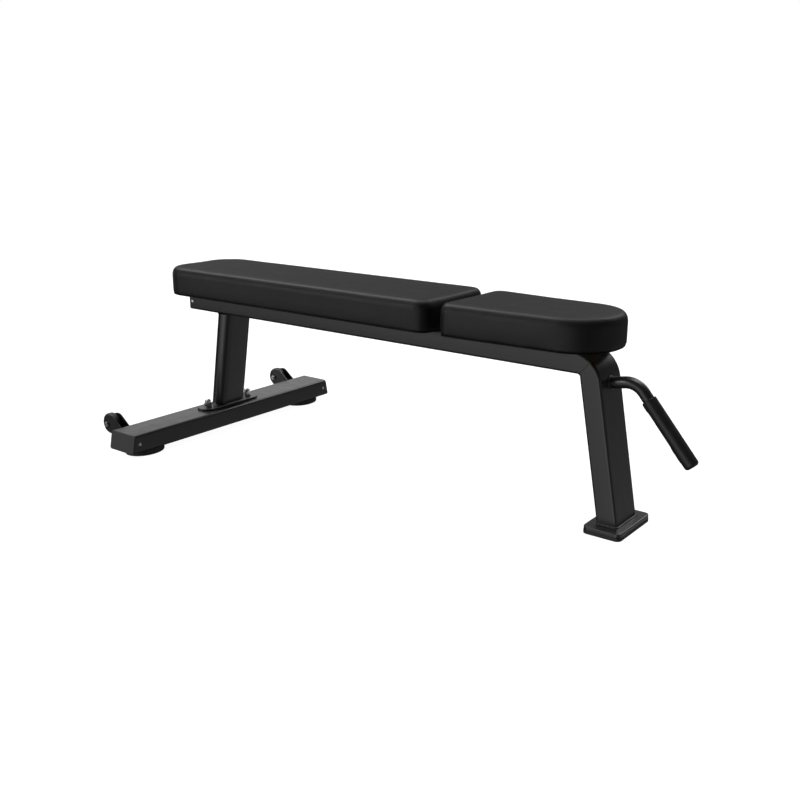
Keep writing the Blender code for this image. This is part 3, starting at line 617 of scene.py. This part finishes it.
def oval_line(centre, half_width, half_length, z, steps=16):
    """Flat oval about a point in plan, its long side along Y."""
    reach = half_length - half_width
    points = arc((centre.x, centre.y + reach), half_width, 0, math.pi, steps)
    points += arc((centre.x, centre.y - reach), half_width, math.pi, 2 * math.pi, steps)
    return [(x, y, z) for x, y in points]


def away_from(centre, lift):
    """Outward in plan from a centre, tilted up or down by lift."""
    def direction(point):
        flat = Vector((point.x - centre.x, point.y - centre.y, 0))
        return flat.normalized() + Vector((0, 0, lift))
    return direction


TUBE_DEPTH = 0.045
TUBE_WIDTH = 0.090
TUBE_CORNER = 0.0062                  # the rounded corner of the frame tube, just outside its skin
LEG_WIDTH = 0.094
FRONT_LEAN = -0.1836                  # how far the front leg moves in X for each metre up
FRONT_LEG_REACH = 1.1135              # from the cross foot to the front leg's inner face, on the floor

leg_low, leg_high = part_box("rear_leg")
plate_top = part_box("rear_leg_plate")[1].z
leg_foot = Vector((leg_low.x + TUBE_DEPTH / 2, 0, 0))
leg_round = TUBE_DEPTH / 2 + WELD_OFF
weld("weld_rear_leg_foot", oval_line(leg_foot, leg_round, LEG_WIDTH / 2 + WELD_OFF, plate_top + WELD_UP),
     away_from(leg_foot, 1.0), closed=True)
leg_head = Vector((leg_high.x - TUBE_DEPTH / 2, 0, 0))
straight = LEG_WIDTH / 2 - TUBE_DEPTH / 2
HALF_ROUND = (0.95, 0.7, 0.45, 0.2, 0.0)   # turns round the leg's end, in radians
for label, way in (("rear", -1), ("front", 1)):
    line = [(leg_head.x + way * leg_round * math.cos(turn),
             straight * side + TUBE_DEPTH / 2 * math.sin(turn) * side, leg_high.z - 0.0002)
            for side, turns in ((-1, HALF_ROUND), (1, HALF_ROUND[::-1])) for turn in turns]
    weld(f"weld_rear_leg_head_{label}", line, away_from(leg_head, -1.0))

front_plate_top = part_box("front_foot_plate")[1].z


def front_leg_faces(z):
    """X of the front leg's inner and outer faces at a height."""
    inner = FOOT_X + FRONT_LEG_REACH + FRONT_LEAN * z
    return inner, inner + TUBE_DEPTH * math.hypot(1, FRONT_LEAN)


def rounded_line(x0, x1, half, corner, z, steps=5):
    """Rectangle with round corners in plan, from x0 to x1 and from -half to half in Y."""
    quarter = math.pi / 2
    points = arc((x1 - corner, half - corner), corner, 0, quarter, steps)
    points += arc((x0 + corner, half - corner), corner, quarter, 2 * quarter, steps)
    points += arc((x0 + corner, corner - half), corner, 2 * quarter, 3 * quarter, steps)
    points += arc((x1 - corner, corner - half), corner, 3 * quarter, 4 * quarter, steps)
    return [(x, y, z) for x, y in points]


inner_x, outer_x = front_leg_faces(front_plate_top)
front_foot = Vector(((inner_x + outer_x) / 2, 0, 0))
weld("weld_front_leg_foot",
     rounded_line(inner_x - WELD_OFF, outer_x + WELD_OFF, TUBE_WIDTH / 2 + WELD_OFF, TUBE_CORNER,
                  front_plate_top + WELD_UP),
     away_from(front_foot, 1.2), closed=True)

# the ring where the handle leaves the front leg, square to the leg's outer face
HANDLE_RADIUS = 0.012
HANDLE_CORNER = Vector((FOOT_X + 1.1576, 0, 0.3049))
handle_out = Vector((1, 0, -FRONT_LEAN)).normalized()
handle_reach = (HANDLE_CORNER.x - front_leg_faces(HANDLE_CORNER.z)[1]) / math.hypot(1, FRONT_LEAN)
handle_root = HANDLE_CORNER - handle_out * (handle_reach - WELD_OFF)


def handle_ring(steps=36):
    side = handle_out.cross(Vector((0, 1, 0)))
    radius = HANDLE_RADIUS + WELD_UP
    turns = [2 * math.pi * i / steps for i in range(steps)]
    return [handle_root + Vector((0, radius * math.cos(turn), 0)) + side * (radius * math.sin(turn))
            for turn in turns]


def from_handle(point):
    return (point - handle_root) / HANDLE_RADIUS + handle_out * 0.9


weld("weld_handle", handle_ring(), from_handle, radius=HANDLE_WELD_RADIUS, closed=True)

# the wheel cheeks on the cross foot's rear face
CHEEK_WELD_ENDS = (0.012, 0.013)      # above the foot's underside and below its top
foot_low, foot_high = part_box("cross_foot")
for side, way in (("left", -1), ("right", 1)):
    for part, out in (("outer", way), ("inner", -way)):
        low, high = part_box(f"wheel_cheek_{part}_{side}")
        y = high.y + GAP if out > 0 else low.y - GAP
        x = foot_low.x - WELD_OFF
        line = [(x, y, foot_low.z + CHEEK_WELD_ENDS[0]), (x, y, foot_high.z - CHEEK_WELD_ENDS[1])]
        weld(f"weld_cheek_{part}_{side}", line, lambda point, out=out: (-1.0, out, 0.0),
             radius=CHEEK_WELD_RADIUS)

# short stitches that hold the pad straps on the beam
STITCH_HALF = 0.010
STITCH_SIDE = 0.026                   # from the beam's middle
beam_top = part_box("main_beam")[1].z
for label in ("rear", "middle", "front"):
    low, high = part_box(f"{label}_pad_bracket")
    for end, x, way in (("a", low.x, -1), ("b", high.x, 1)):
        for side, y in (("left", -STITCH_SIDE), ("right", STITCH_SIDE)):
            line = [(x + way * WELD_OFF, y + end_y, beam_top + WELD_UP)
                    for end_y in (-STITCH_HALF, STITCH_HALF)]
            weld(f"weld_{label}_strap_{end}_{side}", line, lambda point, way=way: (way, 0.0, 1.0))

# ---------------------------------------------------------------- under the pads

HEM_WIDTH = 0.024
HEM_THICKNESS = 0.0009
# round the hem's section: the share of its width, and of its thickness below the pad
HEM_SECTION = ((0.0, 0.0), (0.04, 0.8), (0.2, 1.0), (0.6, 1.0), (0.96, 0.9), (1.0, 0.4), (0.99, 0.0))
STAPLE_PITCH = 0.030
STAPLE_HALF = 0.0050
# along a staple: the share of its half length, and how far it rises into the board
STAPLE_PATH = ((-1, 0.0009), (-1, 0.0002), (-0.9, 0.0), (0.9, 0.0), (1, 0.0002), (1, 0.0009))
STAPLE_SECTION = ((-1, -1), (1, -1), (1, 1), (-1, 1))
STAPLE_WIRE = (0.00055, 0.0003)       # half its width and half its thickness
STAPLE_DROP = 0.00045                 # its middle below the hem
HEM_GAP = 0.00005


def hem(node, plan):
    """The cover's edge, folded under the board, with a slightly uneven cut and gathers at the corners."""
    low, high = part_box(node)
    top = low.z - HEM_GAP
    outer = pad_outline(low, high, plan, FOAM_LOWER_ROUND * 0.8, 24)
    inner = pad_outline(low, high, plan, HEM_WIDTH, 24)
    count = len(outer)

    def build(shape):
        rings = []
        for share, drop in HEM_SECTION:
            ring = []
            for i in range(count):
                a, b = Vector(outer[i]), Vector(inner[i])
                uneven = 1 + 0.05 * math.sin(i * 1.7) + 0.03 * math.sin(i * 0.61 + 2)
                point = a.lerp(b, share * (uneven if share > 0.5 else 1))
                gather = 1 + 0.12 * math.sin(i * 2.1) * share
                ring.append((point.x, point.y, top - HEM_THICKNESS * drop * gather))
            rings.append(ring)
        skin(shape, rings, looped=True)

    new_piece(f"{node}_hem", mesh_from(node + "_hem", build), VINYL)


def staples(node, plan):
    """Wire staples along the hem, each a crown with its two ends turned into the board."""
    low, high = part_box(node)
    outline = [(x, y, 0) for x, y in pad_outline(low, high, plan, HEM_WIDTH * 0.62, 24)]
    line = resample(outline, STAPLE_PITCH, True)
    z = low.z - HEM_THICKNESS - STAPLE_DROP
    count = len(line)

    def build(shape):
        for i in range(count):
            along = (line[(i + 1) % count] - line[i - 1]).normalized()
            tilt = 0.12 * math.sin(i * 2.7)
            along = Matrix.Rotation(tilt, 3, 'Z') @ along
            across = Vector((-along.y, along.x, 0))
            centre = Vector((line[i].x, line[i].y, z))
            path = [centre + along * (share * STAPLE_HALF) + Vector((0, 0, rise))
                    for share, rise in STAPLE_PATH]
            skin(shape, [[point + across * (STAPLE_WIRE[0] * c) + Vector((0, 0, STAPLE_WIRE[1] * d))
                          for c, d in STAPLE_SECTION] for point in path])

    new_piece(f"{node}_staples", mesh_from(node + "_staples", build), ZINC, smooth=False)


for pad_node, pad_plan in (("back_pad", BACK_PAD_PLAN), ("seat_pad", SEAT_PAD_PLAN)):
    hem(pad_node, pad_plan)
    staples(pad_node, pad_plan)

# ---------------------------------------------------------------- studio


def stage_mesh(name, build, material):
    piece = bpy.data.objects.new(name, mesh_from(name, build))
    SCENE.collection.objects.link(piece)
    piece.data.materials.append(material)
    return piece


def floor_material():
    """A pale floor that glows almost as white as the backdrop, so only contact shadows show on it."""
    return start_material("studio_floor", Base_Color=grey(0.30), Roughness=0.9, Specular_IOR_Level=0.0,
                          Emission_Color=grey(1.0), Emission_Strength=0.97)[0]


def backdrop_material():
    material = bpy.data.materials.new("studio_backdrop")
    material.use_nodes = True
    tree = material.node_tree
    tree.nodes.remove(tree.nodes["Principled BSDF"])
    glow = add(tree, "Emission", {"Color": grey(1.0), "Strength": 1.0})
    tree.links.new(glow.outputs[0], tree.nodes["Material Output"].inputs["Surface"])
    return material


FLOOR_RADIUS = 30.0


def floor_disc(shape):
    bmesh.ops.create_circle(shape, cap_ends=True, segments=96, radius=FLOOR_RADIUS)


def dome(shape):
    bmesh.ops.create_uvsphere(shape, u_segments=48, v_segments=24, radius=FLOOR_RADIUS)


# neither is mirrored or lights the bench: the world does that
floor = stage_mesh("floor", floor_disc, floor_material())
backdrop = stage_mesh("backdrop", dome, backdrop_material())
for piece in (floor, backdrop):
    piece.visible_glossy = False
    piece.visible_diffuse = False
backdrop.visible_shadow = False
backdrop.visible_transmission = False

# The surroundings that the dark surfaces mirror: soft lobes of light, each a direction, its strength
# and how narrow it is.
LOBES = (
    ((-0.25, 0.90, 0.35), 0.18, 10.0),
    ((0.00, -0.96, -0.28), 1.13, 12.0),
    ((-0.30, -0.92, -0.25), 0.14, 8.0),
    ((0.59, 0.76, -0.27), 0.10, 8.0),
    ((0.42, 0.74, -0.52), 0.28, 25.0),
    ((0.96, 0.10, -0.27), 0.36, 10.0),
    ((-0.59, 0.35, 0.72), 2.2, 40.0),
    ((-0.59, 0.00, 0.81), 7.8, 40.0),
    ((0.04, 0.13, 0.99), 5.5, 40.0),
    ((0.06, 0.76, 0.65), 4.0, 40.0),
    ((-0.59, -0.78, 0.20), 5.4, 60.0),
    ((-0.59, -0.80, 0.02), 0.75, 60.0),
)
WORLD_BASE = 0.004


def studio_world():
    world = bpy.data.worlds.new("studio")
    world.use_nodes = True
    tree = world.node_tree
    towards = add(tree, "TexCoord").outputs["Generated"]
    total = None
    for direction, strength, narrow in LOBES:
        axis = Vector(direction).normalized()
        dot = add(tree, "VectorMath", {0: towards, 1: axis}, operation='DOT_PRODUCT').outputs["Value"]
        fall = math_node(tree, 'MULTIPLY', math_node(tree, 'SUBTRACT', dot, 1.0), narrow)
        glow = math_node(tree, 'MULTIPLY', math_node(tree, 'EXPONENT', fall), strength)
        total = glow if total is None else math_node(tree, 'ADD', total, glow)
    total = math_node(tree, 'ADD', total, WORLD_BASE)
    background = tree.nodes["Background"]
    background.inputs["Color"].default_value = grey(1.0)
    tree.links.new(total, background.inputs["Strength"])
    SCENE.world = world


studio_world()

# a low card behind the cross foot, mirrored in the top of the foot alone
CARD_TARGET = Vector((FOOT_X, 0.0, 0.33))
CARD_DIRECTION = Vector((-0.72, 0.64, 0.02))
CARD_DISTANCE = 1.0
CARD_SIZE = (1.6, 0.28)
CARD_POWER = 0.92


def low_card():
    light = bpy.data.lights.new("low_card", 'AREA')
    light.shape = 'RECTANGLE'
    light.size, light.size_y = CARD_SIZE
    light.energy = CARD_POWER
    lamp = bpy.data.objects.new("low_card", light)
    SCENE.collection.objects.link(lamp)
    lamp.location = CARD_TARGET + CARD_DIRECTION.normalized() * CARD_DISTANCE
    lamp.visible_camera = False
    lamp.rotation_mode = 'QUATERNION'
    lamp.rotation_quaternion = CARD_DIRECTION.to_track_quat('Z', 'Y')


low_card()

# ---------------------------------------------------------------- camera

CAMERA_PLACE = (FOOT_X + 1.90748, -1.70657, 0.78391)
CAMERA_DOWN = 15.89
CAMERA_TURN = 37.81
CAMERA_LENS = 43.966

camera = bpy.data.objects.new("camera", bpy.data.cameras.new("camera"))
SCENE.collection.objects.link(camera)
camera.location = CAMERA_PLACE
camera.rotation_euler = (math.radians(90 - CAMERA_DOWN), 0, math.radians(CAMERA_TURN))
camera.data.lens = CAMERA_LENS
camera.data.sensor_width = 36.0
camera.data.clip_end = 100.0
SCENE.camera = camera
SCENE.view_settings.view_transform = 'Standard'
